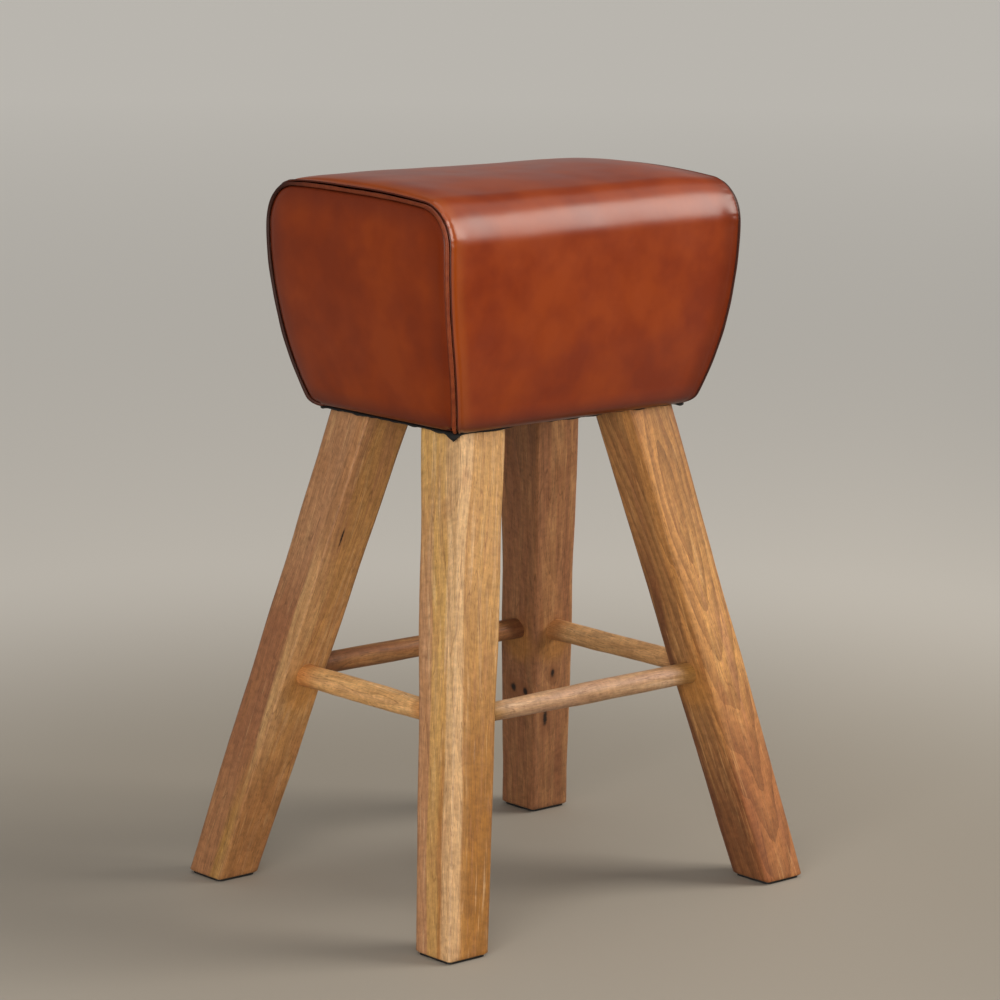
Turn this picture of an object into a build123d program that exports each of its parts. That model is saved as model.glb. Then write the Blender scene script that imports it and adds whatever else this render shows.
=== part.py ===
from build123d import *
import math
import os

os.makedirs("parts", exist_ok=True)

# A leather bar stool in the shape of a vaulting horse: a box seat on four splayed legs.
# Millimetres. +X runs along the seat, -Y is its front and +Z is up.
# The origin is on the floor, under the middle of the seat.

# Seat, measured over the leather: its sides draw in from the shoulder to the waist and the hem
hem_height = 512.0
hem_to_waist = 88.5
waist_to_shoulder = 108.5
seat_length = 406.0
end_draw_in_at_waist = 13.5
end_draw_in_at_hem = 26.0
seat_width = 280.0
side_draw_in_at_waist = 5.5
side_draw_in_at_hem = 27.0

# Its top: rounded long edges with a low arc between them, lower at the ends than over the middle
end_corner_radius = 32.0
end_crown_rise = 4.0
crown_corner_radius = 44.0
crown_rise = 7.0
crown_run = 98.0

# How far along the crown's run each cross-section of the seat stands
crown_station_shares = (-0.12, 0.0, 0.12, 0.28, 0.48, 0.72, 1.0)

# Leather cover
leather_thickness = 1.6
hem_turn = 20.0
hem_corner_gap = 0.6
piping_diameter = 4.8
seam_clearance = 0.3
piping_low_steps = 4
piping_side_steps = 5
piping_corner_steps = 4
piping_crown_steps = 8
piping_sides = 8

# Padding
foam_clearance = 0.3
foam_hem_thickness = 5.0
foam_top_thickness = 56.0

# Plywood box inside the seat
base_thickness = 18.0
wall_thickness = 15.0
top_thickness = 12.0

# Staples that hold the box together, driven in flush
box_staple_width = 11.0
box_staple_wire = 1.6
box_staple_length = 38.0
box_staple_corner_margin = 40.0

# Legs
foot_length_spread = 505.4
foot_width_spread = 426.8
foot_side = 55.4
leg_top_side = 64.3
leg_end_setback = 14.0
leg_front_setback = 4.8
leg_edge_radius = 4.0
rounded_edge_steps = 3
leg_notch_clearance = 1.2

# Black pads under the feet
pad_thickness = 3.0
pad_margin = 3.5
pad_corner_radius = 5.0

# Stretchers, thinner and thicker by hand: each has two end diameters and one in the middle
stretcher_height = 226.0
front_stretcher_left_diameter = 18.4
front_stretcher_middle_diameter = 22.6
front_stretcher_right_diameter = 23.0
rear_stretcher_left_diameter = 23.2
rear_stretcher_middle_diameter = 23.5
rear_stretcher_right_diameter = 23.0
left_stretcher_front_diameter = 23.2
left_stretcher_middle_diameter = 24.4
left_stretcher_rear_diameter = 24.6
right_stretcher_front_diameter = 21.2
right_stretcher_middle_diameter = 22.6
right_stretcher_rear_diameter = 24.4
stretcher_flats = 24
tenon_depth = 16.0
tenon_lead = 5.0
tenon_clearance = 0.1

# Hanger bolts that hold the legs, with their washers and nuts
bolt_diameter = 8.0
bolt_depth_in_leg = 45.0
bolt_tip = 4.0
bolt_clearance = 0.1
washer_width = 20.0
washer_thickness = 1.6
nut_width = 13.0
nut_height = 6.5
block_length = 46.0
block_width = 42.0
block_thickness = 20.0

# Dust cover and its staples
cover_thickness = 0.8
cover_margin = 4.5
staple_width = 10.0
staple_wire = 1.2
staple_length = 10.0
staple_setback = 10.0
staple_spacing = 28.0
staple_leg_margin = 8.0
staple_clearance = 0.1

# How far a cutting shape runs past what it cuts
overrun = 5.0

# Sizes that follow from the ones above
waist_height = hem_height + hem_to_waist
shoulder_height = waist_height + waist_to_shoulder
end_top_height = shoulder_height + end_corner_radius + end_crown_rise
seat_top_height = shoulder_height + crown_corner_radius + crown_rise
waist_length = seat_length - 2 * end_draw_in_at_waist
hem_length = waist_length - 2 * end_draw_in_at_hem
waist_width = seat_width - 2 * side_draw_in_at_waist
hem_width = waist_width - 2 * side_draw_in_at_hem
leg_top_height = hem_height + leather_thickness
foam_inset = leather_thickness + foam_clearance
seam_inset = piping_diameter / 2 + seam_clearance
box_half_length = hem_length / 2 - leather_thickness - foam_hem_thickness
box_half_width = hem_width / 2 - leather_thickness - foam_hem_thickness
box_bottom = hem_height + leather_thickness
box_top = seat_top_height - leather_thickness - foam_top_thickness
wall_bottom = box_bottom + base_thickness
wall_top = box_top - top_thickness
leg_top_x = hem_length / 2 - leg_end_setback - leg_top_side / 2
leg_top_y = hem_width / 2 - leg_front_setback - leg_top_side / 2
foot_x = foot_length_spread / 2 - foot_side / 2
foot_y = foot_width_spread / 2 - foot_side / 2
all_x = (-seat_length / 2 - overrun, seat_length / 2 + overrun)
all_y = (-seat_width / 2 - overrun, seat_width / 2 + overrun)
corner_names = {
    (-1, -1): "front_left",
    (1, -1): "front_right",
    (-1, 1): "rear_left",
    (1, 1): "rear_right",
}
corners = list(corner_names)


def block(x_range, y_range, z_range):
    """A box between three pairs of limits."""
    low_x, high_x = x_range
    low_y, high_y = y_range
    low_z, high_z = z_range
    middle = ((low_x + high_x) / 2, (low_y + high_y) / 2, (low_z + high_z) / 2)
    return Pos(*middle) * Box(high_x - low_x, high_y - low_y, high_z - low_z)


def rod(x, y, low_z, high_z, diameter):
    """An upright round bar."""
    return Pos(x, y, (low_z + high_z) / 2) * Cylinder(diameter / 2, high_z - low_z)


def faceted_bar(rings):
    """A solid with flat faces between rings of corners, whose edges are parallel from ring to ring."""
    faces = [make_face(Polyline(*rings[0], close=True)), make_face(Polyline(*rings[-1], close=True))]
    for lower, upper in zip(rings, rings[1:]):
        for k in range(len(lower)):
            quad = (lower[k - 1], lower[k], upper[k], upper[k - 1])
            faces.append(make_face(Polyline(*quad, close=True)))
    return Solid(Shell(faces))


def between(start, end, share):
    return start + (end - start) * share


# The seat's sides: one arc from the shoulder to the waist, another on to the hem
def side_arcs(widest, waist, hem):
    """Centre and radius of the two arcs, and how far the side leans where they meet.

    A lower arc that hollows the side, and doesn't round it, has a radius below zero.
    """
    drop = shoulder_height - waist_height
    draw_in = widest - waist
    upper_radius = (draw_in**2 + drop**2) / (2 * draw_in)
    lean = math.asin(drop / upper_radius)
    inward = (-math.cos(lean), math.sin(lean))
    step = (hem - waist, hem_height - waist_height)
    lower_radius = (step[0] ** 2 + step[1] ** 2) / (2 * (step[0] * inward[0] + step[1] * inward[1]))
    upper_centre = (widest - upper_radius, shoulder_height)
    lower_centre = (waist + inward[0] * lower_radius, waist_height + inward[1] * lower_radius)
    return upper_centre, upper_radius, lower_centre, lower_radius, lean


def side_edges(widest, waist, hem, inset):
    """The two arcs, drawn inwards along their radii by the inset, down to the hem's height."""
    upper_centre, upper_radius, lower_centre, lower_radius, lean = side_arcs(widest, waist, hem)
    hem_lean = math.asin((lower_centre[1] - hem_height) / (lower_radius - inset))
    upper = CenterArc(upper_centre, upper_radius - inset, 0, -math.degrees(lean))
    lower_turn = math.degrees(hem_lean - lean)
    lower_start = -math.degrees(lean) if lower_radius > 0 else 180 - math.degrees(lean)
    lower = CenterArc(lower_centre, abs(lower_radius - inset), lower_start, -lower_turn)
    return upper, lower


def side_reach(height, widest, waist, hem):
    """How far out the side stands at one height."""
    upper_centre, upper_radius, lower_centre, lower_radius, _ = side_arcs(widest, waist, hem)
    if height >= waist_height:
        return upper_centre[0] + math.sqrt(upper_radius**2 - (upper_centre[1] - height) ** 2)
    across = math.sqrt(lower_radius**2 - (lower_centre[1] - height) ** 2)
    return lower_centre[0] + math.copysign(across, lower_radius)


def crown_turn(half_width, top, radius):
    """Angle that the flat crown arc takes up on each side of the seat's middle."""
    return 2 * math.atan((top - shoulder_height - radius) / (half_width - radius))


# Cross-section of the seat: drawn-in sides, rounded shoulders and a low crown
def seat_section(inset, top_height, corner_radius):
    widest = seat_width / 2 - inset
    top = top_height - inset
    radius = corner_radius - inset
    turn = crown_turn(widest, top, radius)
    crown_radius = (widest - radius + radius * math.sin(turn)) / math.sin(turn)
    lean = math.degrees(turn)
    upper, lower = side_edges(seat_width / 2, waist_width / 2, hem_width / 2, inset)
    corner = CenterArc((widest - radius, shoulder_height), radius, 0, 90 - lean)
    crown = CenterArc((0, top - crown_radius), crown_radius, 90 - lean, 2 * lean)
    right_side = Curve() + [lower, upper, corner]
    left_side = mirror(right_side, Plane.YZ)
    hem_point = lower @ 1
    floor_line = Line((-hem_point.X, hem_point.Y), (hem_point.X, hem_point.Y))
    return make_face(Curve() + [floor_line, right_side, crown, left_side])


def crown_share(distance_share):
    """Share of the crown's rise that is reached at a share of its run in from the end."""
    return 1 - (1 - distance_share) ** 2


# The wrap's outer surface, inset by a number of millimetres, as one bar through all sections
def wrap_form(inset):
    stations = []
    for share in crown_station_shares:
        x = seat_length / 2 - share * crown_run
        rise_share = crown_share(share)
        top = between(end_top_height, seat_top_height, rise_share)
        radius = between(end_corner_radius, crown_corner_radius, rise_share)
        stations.append((-x, top, radius))
    right_half = [(-x, top, radius) for x, top, radius in reversed(stations)]
    stations = stations + [(0, seat_top_height, crown_corner_radius)] + right_half
    faces = []
    for x, top, radius in stations:
        plane = Plane(origin=(x, 0, 0), x_dir=(0, 1, 0), z_dir=(1, 0, 0))
        faces.append(plane * seat_section(inset, top, radius))
    return loft(faces, ruled=True)


# The two end surfaces, inset alike: the seat's front view, carried right through it
def end_form(inset):
    widest = seat_length / 2 - inset
    upper, lower = side_edges(seat_length / 2, waist_length / 2, hem_length / 2, inset)
    above = Line((widest, seat_top_height + overrun), (widest, shoulder_height))
    right_side = Curve() + [above, upper, lower]
    left_side = mirror(right_side, Plane.YZ)
    top_line = Line((-widest, seat_top_height + overrun), (widest, seat_top_height + overrun))
    hem_point = lower @ 1
    floor_line = Line((-hem_point.X, hem_point.Y), (hem_point.X, hem_point.Y))
    outline = make_face(Curve() + [top_line, right_side, floor_line, left_side])
    return extrude(Plane.XZ * outline, amount=all_y[1], both=True)


def leg_centre(height, corner):
    share = (height - pad_thickness) / (leg_top_height - pad_thickness)
    return corner[0] * between(foot_x, leg_top_x, share), corner[1] * between(foot_y, leg_top_y, share)


def leg_side(height):
    return between(foot_side, leg_top_side, (height - pad_thickness) / (leg_top_height - pad_thickness))


def leg_notches():
    """Room for the four legs where the hem and the dust cover pass them."""
    reach = leg_top_side / 2 + leg_notch_clearance
    z_range = (hem_height - cover_thickness - overrun, box_bottom)
    notches = []
    for x_sign, y_sign in corners:
        x, y = leg_centre(hem_height, (x_sign, y_sign))
        notches.append(block((x - reach, x + reach), (y - reach, y + reach), z_range))
    return notches


# Long sides take a row of staples between the legs, the ends a shorter one
def staple_places():
    leg_reach = leg_top_side / 2 + staple_leg_margin
    long_room = 2 * (leg_top_x - leg_reach)
    short_room = 2 * (leg_top_y - leg_reach)
    back_z = hem_height - cover_thickness - staple_wire
    places = []
    for room, along_x in ((long_room, True), (short_room, False)):
        count = int(room // staple_spacing) + 1
        for k in range(count):
            along = (k - (count - 1) / 2) * staple_spacing
            for side in (-1, 1):
                if along_x:
                    place = Pos(along, side * (hem_width / 2 - staple_setback), back_z)
                else:
                    place = Pos(side * (hem_length / 2 - staple_setback), along, back_z) * Rot(0, 0, 90)
                places.append(place)
    return places


def staple(width, wire, length, grown):
    """A staple with its back on the origin and its two points up, larger all round by the growth."""
    half = width / 2 + grown
    half_wire = wire / 2 + grown
    outer = block((-half, half), (-half_wire, half_wire), (-grown, length + grown))
    inner = width / 2 - wire - grown
    return outer - block((-inner, inner), (-half_wire, half_wire), (wire, length + grown))


def cover_staples(grown=0):
    return [place * staple(staple_width, staple_wire, staple_length, grown) for place in staple_places()]


def staple_slots():
    return cover_staples(staple_clearance)


def cover_skin(form, inset):
    """The layer between a form and its inset one, closed under the seat's box as well."""
    above_hem = block(all_x, all_y, (box_bottom, seat_top_height + overrun))
    return form(0) - (form(inset) & above_hem)


def outer_part(low, side, limits):
    """The range from a distance on one side of the middle to the end of the limits."""
    return sorted((side * low, side * limits[1]))


def leather_wrap_panel():
    """One long panel from the front hem over the top to the rear hem."""
    skin = cover_skin(wrap_form, leather_thickness) & end_form(seam_inset)
    hem_inside = hem_width / 2 - hem_turn
    hem_z = (hem_height - overrun, box_bottom)
    cuts = [block(all_x, (-hem_inside, hem_inside), hem_z)]
    strip_end = hem_length / 2 - hem_turn - hem_corner_gap
    wall_inside = hem_width / 2 - leather_thickness
    for side in (-1, 1):
        cuts.append(block(outer_part(strip_end, side, all_x), (-wall_inside, wall_inside), hem_z))
    return skin - cuts - leg_notches() - staple_slots()


def leather_end_panel(side):
    """The panel that closes one end, with its own turned hem."""
    skin = cover_skin(end_form, leather_thickness) & wrap_form(seam_inset)
    skin = skin & block(outer_part(0, side, all_x), all_y, (0, seat_top_height + overrun))
    hem_inside = hem_length / 2 - hem_turn
    opening = block((-hem_inside, hem_inside), all_y, (hem_height - overrun, box_bottom))
    return skin - opening - leg_notches() - staple_slots()


# The seam runs up one corner of the end, over the top and down the other
def arc_corners(centre, radius, start, end, steps):
    """Corners of the straight runs that touch an arc from outside."""
    step = (end - start) / steps
    reach = radius / math.cos(step / 2)
    found = []
    for k in range(steps):
        angle = start + (k + 0.5) * step
        found.append((centre[0] + reach * math.cos(angle), centre[1] + reach * math.sin(angle)))
    return found


def seam_points(side):
    widest = seat_width / 2
    length = (seat_length / 2, waist_length / 2, hem_length / 2)
    arcs = side_arcs(widest, waist_width / 2, hem_width / 2)
    upper_centre, upper_radius, lower_centre, lower_radius, lean = arcs
    hem_lean = math.asin((lower_centre[1] - hem_height) / lower_radius)
    turn = crown_turn(widest, end_top_height, end_corner_radius)
    corner_centre = (widest - end_corner_radius, shoulder_height)
    crown_radius = (corner_centre[0] + end_corner_radius * math.sin(turn)) / math.sin(turn)
    crown_centre = (0, end_top_height - crown_radius)
    upright = math.pi / 2
    half = [(hem_width / 2, hem_height)]
    half += arc_corners(lower_centre, lower_radius, -hem_lean, -lean, piping_low_steps)
    half += arc_corners(upper_centre, upper_radius, -lean, 0, piping_side_steps)
    half += arc_corners(corner_centre, end_corner_radius, 0, upright - turn, piping_corner_steps)
    crown = arc_corners(crown_centre, crown_radius, upright - turn, upright + turn, piping_crown_steps)
    outline = half + crown + [(-across, height) for across, height in reversed(half)]
    points = []
    for across, height in outline:
        reach = side_reach(min(height, shoulder_height), *length)
        points.append(Vector(side * reach, across, height))
    return points


def piping(side):
    """A cord in a narrow strip of leather, with a mitred joint at each corner of the seam's path."""
    points = seam_points(side)
    sections = []
    for k, here in enumerate(points):
        before = points[max(k - 1, 0)]
        after = points[min(k + 1, len(points) - 1)]
        plane = Plane(origin=here, x_dir=(side, 0, 0), z_dir=after - before)
        sections.append(plane * RegularPolygon(piping_diameter / 2, piping_sides))
    return loft(sections, ruled=True)


# Padding: the room inside the leather, cut into five slabs round the plywood box
def foam_pads():
    above = (box_top, seat_top_height + overrun)
    below = (box_bottom, box_top)
    room = wrap_form(foam_inset) & end_form(seam_inset)
    pads = {"foam_top": room & block(all_x, all_y, above)}
    for name, side in (("foam_front", -1), ("foam_rear", 1)):
        pads[name] = room & block(all_x, outer_part(box_half_width, side, all_y), below)
    between_pads = (-box_half_width, box_half_width)
    for name, side in (("foam_left", -1), ("foam_right", 1)):
        pads[name] = room & block(outer_part(box_half_length, side, all_x), between_pads, below)
    return pads


# Staples of the box: up through the base, down through the top and in through the long walls
def box_staples(grown=0):
    row_x = box_half_length - box_staple_corner_margin
    row_y = box_half_width - wall_thickness / 2
    joint_x = box_half_length - wall_thickness / 2
    joint_z = (wall_bottom + wall_top) / 2
    shape = staple(box_staple_width, box_staple_wire, box_staple_length, grown)
    found = []
    for x_sign, y_sign in corners:
        x = x_sign * row_x
        y = y_sign * row_y
        joint = (x_sign * joint_x, y_sign * box_half_width, joint_z)
        found.append(Plane(origin=(x, y, box_bottom), x_dir=(1, 0, 0), z_dir=(0, 0, 1)) * shape)
        found.append(Plane(origin=(x, y, box_top), x_dir=(1, 0, 0), z_dir=(0, 0, -1)) * shape)
        found.append(Plane(origin=joint, x_dir=(0, 0, 1), z_dir=(0, -y_sign, 0)) * shape)
    return found


def bolt_places():
    return [leg_centre(leg_top_height, corner) for corner in corners]


def bolt_bores(low, high):
    return [rod(x, y, low, high, bolt_diameter + 2 * bolt_clearance) for x, y in bolt_places()]


def box_boards():
    """The six plywood boards of the seat's box."""
    inner_length = box_half_length - wall_thickness
    inner_width = box_half_width - wall_thickness
    x_all = (-box_half_length, box_half_length)
    y_all = (-box_half_width, box_half_width)
    wall_z = (wall_bottom, wall_top)
    boards = {
        "base_board": block(x_all, y_all, (box_bottom, wall_bottom)),
        "top_board": block(x_all, y_all, (wall_top, box_top)),
        "front_board": block(x_all, (-box_half_width, -inner_width), wall_z),
        "rear_board": block(x_all, (inner_width, box_half_width), wall_z),
        "left_board": block((-box_half_length, -inner_length), (-inner_width, inner_width), wall_z),
        "right_board": block((inner_length, box_half_length), (-inner_width, inner_width), wall_z),
    }
    slots = box_staples(staple_clearance)
    for name in boards:
        boards[name] = boards[name] - slots
    holes = bolt_bores(box_bottom - overrun, wall_bottom + overrun)
    boards["base_board"] = boards["base_board"] - holes - staple_slots()
    return boards


def corner_blocks():
    """Blocks glued into the box's corners, over the legs."""
    blocks = []
    inner_length = box_half_length - wall_thickness
    inner_width = box_half_width - wall_thickness
    for x_sign, y_sign in corners:
        x_range = sorted((x_sign * inner_length, x_sign * (inner_length - block_length)))
        y_range = sorted((y_sign * inner_width, y_sign * (inner_width - block_width)))
        blocks.append(block(x_range, y_range, (wall_bottom, wall_bottom + block_thickness)))
    holes = bolt_bores(wall_bottom - overrun, wall_bottom + block_thickness + overrun)
    return [each - holes for each in blocks]


washer_bottom = wall_bottom + block_thickness
nut_bottom = washer_bottom + washer_thickness
bolt_top = nut_bottom + nut_height + bolt_tip


def hanger_bolts():
    low = leg_top_height - bolt_depth_in_leg
    return [rod(x, y, low, bolt_top, bolt_diameter) for x, y in bolt_places()]


def bolt_washers():
    """Square plate washers, which spread the nuts' load over the corner blocks."""
    square = Rectangle(washer_width, washer_width)
    plate = Pos(0, 0, washer_bottom) * extrude(square, amount=washer_thickness)
    holes = bolt_bores(washer_bottom - overrun, nut_bottom + overrun)
    return [Pos(x, y, 0) * plate - holes for x, y in bolt_places()]


def bolt_nuts():
    hexagon = extrude(RegularPolygon(nut_width / 2, 6, major_radius=False), amount=nut_height)
    holes = bolt_bores(nut_bottom - overrun, nut_bottom + nut_height + overrun)
    return [Pos(x, y, nut_bottom) * hexagon - holes for x, y in bolt_places()]


# Each stretcher's direction, its side of the stool and its three diameters
stretchers = {
    "stretcher_front": (
        "x",
        -1,
        front_stretcher_left_diameter,
        front_stretcher_middle_diameter,
        front_stretcher_right_diameter,
    ),
    "stretcher_rear": (
        "x",
        1,
        rear_stretcher_left_diameter,
        rear_stretcher_middle_diameter,
        rear_stretcher_right_diameter,
    ),
    "stretcher_left": (
        "y",
        -1,
        left_stretcher_front_diameter,
        left_stretcher_middle_diameter,
        left_stretcher_rear_diameter,
    ),
    "stretcher_right": (
        "y",
        1,
        right_stretcher_front_diameter,
        right_stretcher_middle_diameter,
        right_stretcher_rear_diameter,
    ),
}


def stretcher_ends(direction):
    """Where a stretcher leaves the leg's face, and where its tenon ends, from the middle."""
    x, y = leg_centre(stretcher_height, (1, 1))
    face = (x if direction == "x" else y) - leg_side(stretcher_height) / 2
    return face, face + tenon_depth


def stretcher_plane(direction, side, along):
    x, y = leg_centre(stretcher_height, (1, 1))
    if direction == "x":
        return Plane(origin=(along, side * y, stretcher_height), x_dir=(0, 1, 0), z_dir=(1, 0, 0))
    return Plane(origin=(side * x, along, stretcher_height), x_dir=(1, 0, 0), z_dir=(0, 1, 0))


def stretcher(direction, side, low_diameter, middle_diameter, high_diameter):
    """A bar rounded by hand in narrow flats, thickest where its middle diameter says."""
    face, end = stretcher_ends(direction)
    lead = face - tenon_lead
    stations = (
        (-end, low_diameter),
        (-lead, low_diameter),
        (0, middle_diameter),
        (lead, high_diameter),
        (end, high_diameter),
    )
    rings = []
    for along, diameter in stations:
        plane = stretcher_plane(direction, side, along)
        ring = []
        for k in range(stretcher_flats):
            angle = 2 * math.pi * k / stretcher_flats
            corner = (diameter / 2 * math.cos(angle), diameter / 2 * math.sin(angle), 0)
            ring.append(plane.from_local_coords(corner))
        rings.append(ring)
    return faceted_bar(rings)


def mortises():
    """Blind round holes for all the tenons, each as wide as its tenon and a clearance."""
    holes = []
    for direction, side, low_diameter, _, high_diameter in stretchers.values():
        face, end = stretcher_ends(direction)
        start = face - tenon_lead - overrun
        depth = end + tenon_clearance - start
        low_hole = Circle(low_diameter / 2 + tenon_clearance)
        high_hole = Circle(high_diameter / 2 + tenon_clearance)
        holes.append(extrude(stretcher_plane(direction, side, start) * high_hole, amount=depth))
        holes.append(extrude(stretcher_plane(direction, side, -start) * low_hole, amount=-depth))
    return holes


def eased_corners(side, radius):
    """Corners of a square whose own corners are rounded in a few straight steps."""
    outline = []
    for quarter in range(4):
        for k in range(rounded_edge_steps + 1):
            angle = math.pi / 2 * (quarter + k / rounded_edge_steps)
            middle = math.pi / 2 * (quarter + 0.5)
            x = math.copysign(side / 2 - radius, math.cos(middle)) + radius * math.cos(angle)
            y = math.copysign(side / 2 - radius, math.sin(middle)) + radius * math.sin(angle)
            outline.append((x, y))
    return outline


def leg(corner):
    """A tapered square leg that leans out both ways, with its edges rounded."""
    rings = []
    for height in (pad_thickness, leg_top_height):
        x, y = leg_centre(height, corner)
        outline = eased_corners(leg_side(height), leg_edge_radius)
        rings.append([Vector(x + across, y + along, height) for across, along in outline])
    bolt_holes = bolt_bores(leg_top_height - bolt_depth_in_leg - bolt_clearance, leg_top_height + overrun)
    return faceted_bar(rings) - mortises() - bolt_holes


def foot_pad(corner):
    x, y = leg_centre(pad_thickness, corner)
    outline = eased_corners(foot_side - 2 * pad_margin, pad_corner_radius)
    return extrude(Pos(x, y, 0) * make_face(Polyline(*outline, close=True)), amount=pad_thickness)


def dust_cover():
    """Thin black cloth under the seat, over the turned hem and cut out round the legs."""
    half_length = hem_length / 2 - cover_margin
    half_width = hem_width / 2 - cover_margin
    z_range = (hem_height - cover_thickness, hem_height)
    sheet = block((-half_length, half_length), (-half_width, half_width), z_range)
    return sheet - leg_notches() - staple_slots()


def solids_of(shape):
    if isinstance(shape, list):
        found = []
        for each in shape:
            found.extend(each.solids())
        return found
    return list(shape.solids())


def write(name, shape):
    """Each node goes to its own file, as one solid or a group of separate ones."""
    found = solids_of(shape)
    body = found[0] if len(found) == 1 else Compound(children=found)
    body.label = name
    export_step(body, "parts/" + name + ".step")
    print(name, len(found), round(sum(each.volume for each in found)))


write("leather_wrap_panel", leather_wrap_panel())
for end_name, end_side in (("left", -1), ("right", 1)):
    write("leather_end_panel_" + end_name, leather_end_panel(end_side))
    write("piping_" + end_name, piping(end_side))
for pad_name, pad in foam_pads().items():
    write(pad_name, pad)
for board_name, board in box_boards().items():
    write(board_name, board)
write("box_staples", box_staples())
write("corner_blocks", corner_blocks())
write("hanger_bolts", hanger_bolts())
write("bolt_washers", bolt_washers())
write("bolt_nuts", bolt_nuts())
for stretcher_name, values in stretchers.items():
    write(stretcher_name, stretcher(*values))
for place in corners:
    write("leg_" + corner_names[place], leg(place))
    write("foot_pad_" + corner_names[place], foot_pad(place))
write("dust_cover", dust_cover())
write("cover_staples", cover_staples())
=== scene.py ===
import math

import bmesh
import bpy
import numpy as np
from mathutils import Euler, Matrix, Vector, noise


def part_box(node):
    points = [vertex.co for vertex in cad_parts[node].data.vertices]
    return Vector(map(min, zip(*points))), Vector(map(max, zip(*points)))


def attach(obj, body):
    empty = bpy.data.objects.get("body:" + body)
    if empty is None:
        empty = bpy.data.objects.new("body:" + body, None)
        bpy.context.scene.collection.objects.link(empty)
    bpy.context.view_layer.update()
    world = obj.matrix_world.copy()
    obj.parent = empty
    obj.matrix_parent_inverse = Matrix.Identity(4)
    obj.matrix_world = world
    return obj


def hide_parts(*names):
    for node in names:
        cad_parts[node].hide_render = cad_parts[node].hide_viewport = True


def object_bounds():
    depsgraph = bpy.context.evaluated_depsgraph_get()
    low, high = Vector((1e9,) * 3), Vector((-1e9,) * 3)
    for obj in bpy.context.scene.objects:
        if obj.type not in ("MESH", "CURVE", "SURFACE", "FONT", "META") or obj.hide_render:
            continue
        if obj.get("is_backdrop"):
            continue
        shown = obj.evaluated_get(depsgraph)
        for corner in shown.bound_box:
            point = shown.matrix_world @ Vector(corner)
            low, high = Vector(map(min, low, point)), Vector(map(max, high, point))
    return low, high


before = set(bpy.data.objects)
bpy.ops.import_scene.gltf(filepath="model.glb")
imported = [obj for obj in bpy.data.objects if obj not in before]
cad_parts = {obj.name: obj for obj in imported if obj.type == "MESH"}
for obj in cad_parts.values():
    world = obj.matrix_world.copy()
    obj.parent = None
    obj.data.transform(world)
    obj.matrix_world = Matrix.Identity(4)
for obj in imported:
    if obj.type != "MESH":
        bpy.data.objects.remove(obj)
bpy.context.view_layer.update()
mm = 0.001

# Camera, where the photograph was taken from: metres and radians, and its lens in millimetres
camera_place = (-2.76195, -3.06294, 1.20548)
camera_pitch = -0.19111
camera_heading = 0.70787
camera_roll = 0.01027
camera_lens = 143.586
camera_shift = 0.1

# Seat over the leather, in metres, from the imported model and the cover's own curves
wrap_low, wrap_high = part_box("leather_wrap_panel")
seam_inset = 2.7 * mm
seat_half_length = wrap_high.x + seam_inset
seat_half_width = wrap_high.y
hem_height = wrap_low.z
waist_height = hem_height + 88.5 * mm
shoulder_height = waist_height + 103.5 * mm
end_draw_in_at_waist = 11 * mm
end_draw_in_at_hem = 25 * mm
side_draw_in_at_waist = 5.5 * mm
side_draw_in_at_hem = 22 * mm
end_corner_radius = 41 * mm
end_crown_rise = 4 * mm
crown_corner_radius = 49 * mm
crown_rise = 8.3 * mm
left_crown_run, right_crown_run = 50 * mm, 100 * mm
hem_fold_radius = 15 * mm
hem_under = 6 * mm
leather_thickness = 1.6 * mm
piping_radius = 2.1 * mm
piping_sink, piping_sink_on_top = 0.7 * mm, 0.3 * mm

# Fuller padding at the rear shoulder, and the places between which it grows or fades
rear_fullness, rear_fullness_grows = 2.5 * mm, (60 * mm, 130 * mm)
rear_lift, rear_lift_grows, rear_lift_fades = 3 * mm, (0, 110 * mm), (-120 * mm, 60 * mm)
full_shoulder_height = shoulder_height - 10 * mm
full_top_height = shoulder_height + 40 * mm

# Swelling of the leather, and the distances from a seam or the hem over which it grows
padding_swell, padding_swell_width = 1.6 * mm, 40 * mm
wrap_swell, end_swell, swell_width = 2.4 * mm, 2.2 * mm, 15 * mm
free_above_hem = 25 * mm
# Hills in the leather: height, width, and distance from the seam at which they are full
leather_hills = ((0.9 * mm, 90 * mm, 30 * mm), (0.25 * mm, 28 * mm, 12 * mm))

# Beside the piping: depths and heights of the leather, and distances from the seam
wrap_rounding, end_rounding, rounding_width = 0.2 * mm, 1.7 * mm, 9 * mm
wrap_turn, end_turn, turn_width = 0.6 * mm, 0.9 * mm, 1.3 * mm
left_ridge, right_ridge = 0.8 * mm, 0.15 * mm
ridge_rises, ridge_falls = (0.8 * mm, 2.6 * mm), (6.5 * mm, 9 * mm)

# Puckers beside the wrap's seams at the seat's upper corners, and a dimple in each corner
pucker_height, pucker_wave, pucker_drift = 0.42 * mm, 1.15 * mm, 5 * mm
pucker_from_seam, pucker_width = 5 * mm, 5 * mm
pucker_heights = (shoulder_height - 18 * mm, shoulder_height + 12 * mm)
pucker_across = (0.72 * seat_half_width, 0.86 * seat_half_width)
dimple_depth, dimple_width = 1.0 * mm, 9 * mm
dimple_place = (seat_half_length - 14 * mm, seat_half_width - 3 * mm, shoulder_height + 10 * mm)

# Where painted light lies beside a seam: a painted highlight over the left allowance, painted shade at the
# right end
allowance_rises, allowance_fades = (1.5 * mm, 4 * mm), (8 * mm, 28 * mm)
far_edge_fades = (2 * mm, 34 * mm)


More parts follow.
